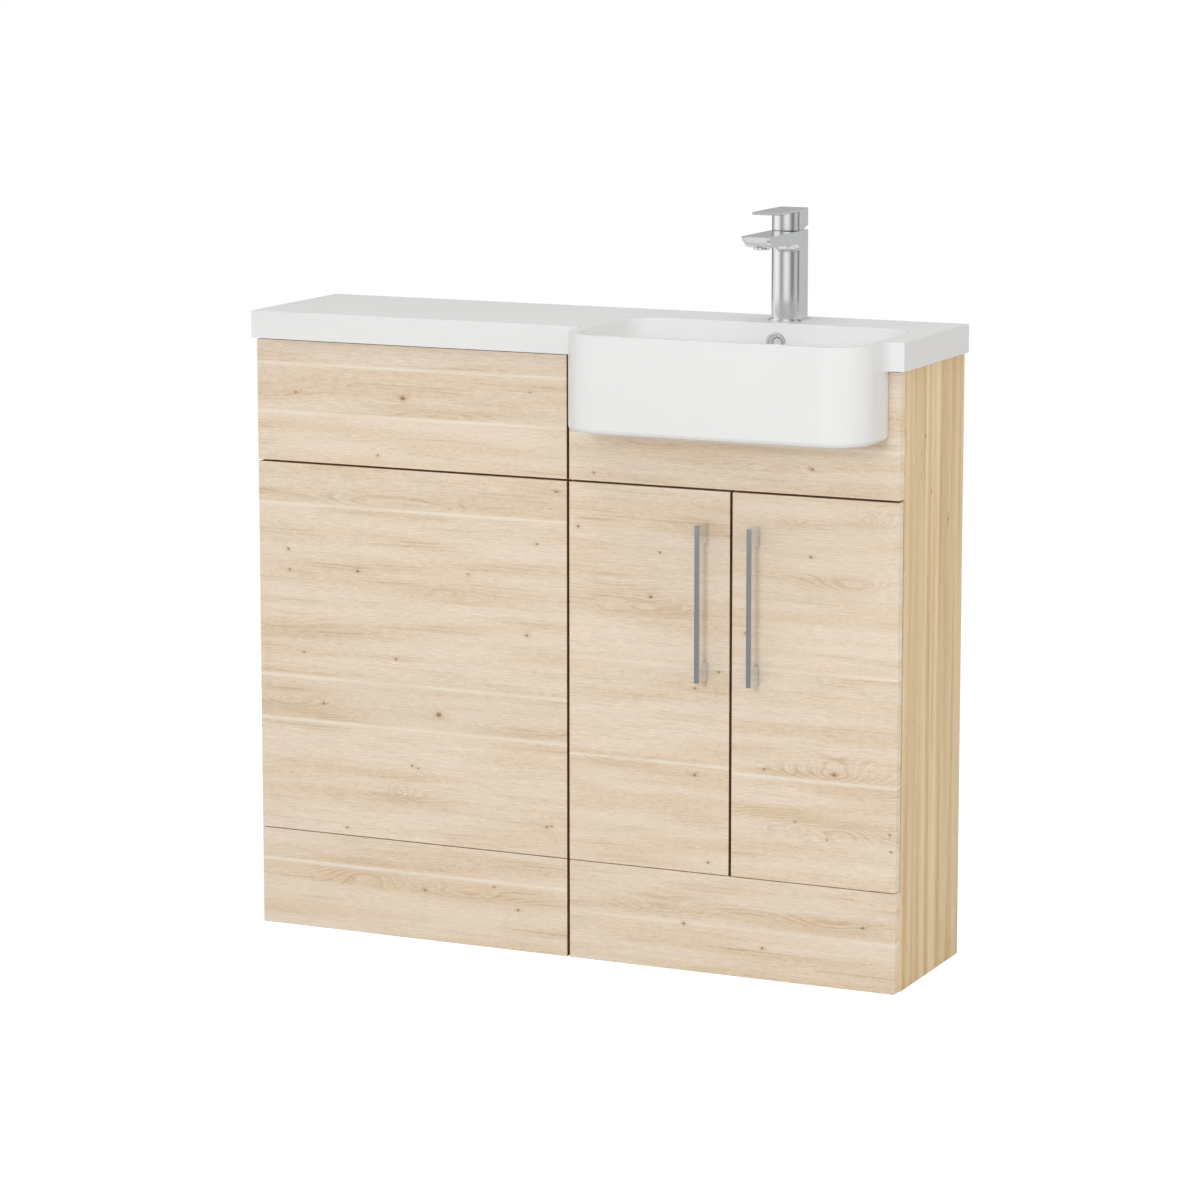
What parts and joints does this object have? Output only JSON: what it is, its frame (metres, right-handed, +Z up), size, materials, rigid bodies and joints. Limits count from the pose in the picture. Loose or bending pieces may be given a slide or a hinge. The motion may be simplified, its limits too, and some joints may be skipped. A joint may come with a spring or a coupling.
{
  "type": "toilet and basin combination unit",
  "caption": "Slim floor-standing combination unit: toilet-side cabinet with hidden cistern beside a two-door basin cabinet, under one white cast top with half-recessed bowl and lever tap.",
  "frame": {"origin": "on the floor, below the middle of the whole unit's bounding box", "axes": "+X to the right seen from the front, from the toilet side to the basin side; +Y to the wall behind; +Z up"},
  "size_m": [1.008, 0.359, 1.069],
  "materials": {
    "front_wood": "light oak foil with horizontal grain, satin",
    "side_wood": "light oak foil with upright grain, satin",
    "carcass_board": "foil-faced board",
    "cast_white": "cast marble with a white gloss gel coat",
    "chrome": "polished",
    "handle_metal": "satin chrome",
    "steel": "zinc plated",
    "white_plastic": "moulded",
    "grey_plastic": "moulded",
    "rubber": "soft"
  },
  "bodies": {
    "cabinet": {"wc_side_left": "side_wood", "wc_side_right": "side_wood", "wc_front_panel": "front_wood", "wc_plinth": "front_wood", "wc_mid_rail": "carcass_board", "wc_back_rail": "carcass_board", "wc_panel_sockets": "white_plastic", "cistern_tank": "white_plastic", "cistern_lid": "white_plastic", "cistern_screws": "steel", "fill_valve": "grey_plastic", "flush_valve": "grey_plastic", "cistern_nuts": "grey_plastic", "flush_pipe": "grey_plastic", "vanity_side_left": "side_wood", "vanity_side_right": "side_wood", "vanity_base": "carcass_board", "vanity_front_rail": "carcass_board", "vanity_back_rail": "carcass_board", "vanity_fascia": "front_wood", "vanity_plinth": "front_wood", "vanity_shelf": "carcass_board", "shelf_pins": "steel", "fixing_blocks": "white_plastic", "wall_brackets": "steel", "door_buffers": "rubber", "hinge_arms": "steel", "hinge_plates": "steel", "basin_top": "cast_white", "overflow_ring": "chrome", "waste_body": "chrome", "waste_seal": "rubber", "waste_nut": "white_plastic", "trap_body": "white_plastic", "trap_cup": "white_plastic", "trap_nuts": "white_plastic", "waste_pipe": "white_plastic", "tap_body": "chrome", "tap_base_ring": "chrome", "tap_tails": "chrome", "tap_cartridge": "grey_plastic", "tap_aerator": "chrome", "tap_fixings": "steel"},
    "door_left": {"door_left": "front_wood", "handle_left": "handle_metal", "handle_screws_left": "steel", "hinge_cups_left": "steel"},
    "door_right": {"door_right": "front_wood", "handle_right": "handle_metal", "handle_screws_right": "steel", "hinge_cups_right": "steel"},
    "access_panel": {"wc_top_panel": "front_wood", "wc_panel_pins": "white_plastic"},
    "tap_turret": {"tap_turret": "grey_plastic"},
    "tap_lever": {"tap_lever": "chrome", "tap_spindle": "steel"},
    "waste_plug": {"waste_plug": "chrome"},
    "float": {"float_arm": "grey_plastic", "float": "white_plastic"},
    "flush_plunger": {"flush_plunger": "white_plastic"}
  },
  "joints": [
    {"name": "door_left_hinge", "type": "hinge", "parent": "cabinet", "child": "door_left", "pos_m": [0.002, -0.0685, 0.416], "axis": [0, 0, -1], "range_deg": [0, 110]},
    {"name": "door_right_hinge", "type": "hinge", "parent": "cabinet", "child": "door_right", "pos_m": [0.494, -0.0685, 0.416], "axis": [0, 0, 1], "range_deg": [0, 110]},
    {"name": "access_panel_pull", "type": "slide", "parent": "cabinet", "child": "access_panel", "axis": [0, -1, 0], "range_m": [0, 0.1]},
    {"name": "tap_swivel", "type": "hinge", "parent": "cabinet", "child": "tap_turret", "pos_m": [0.253, 0.1245, 1.04], "axis": [0, 0, 1], "range_deg": [-45, 45]},
    {"name": "tap_lift", "type": "hinge", "parent": "tap_turret", "child": "tap_lever", "pos_m": [0.253, 0.1245, 1.044], "axis": [-1, 0, 0], "range_deg": [0, 18]},
    {"name": "plug_travel", "type": "slide", "parent": "cabinet", "child": "waste_plug", "axis": [0, 0, 1], "range_m": [0, 0.008]},
    {"name": "float_swing", "type": "hinge", "parent": "cabinet", "child": "float", "pos_m": [-0.402, 0.0915, 0.751], "axis": [0, -1, 0], "range_deg": [0, 18]},
    {"name": "flush_lift", "type": "slide", "parent": "cabinet", "child": "flush_plunger", "axis": [0, 0, 1], "range_m": [0, 0.03]}
  ]
}
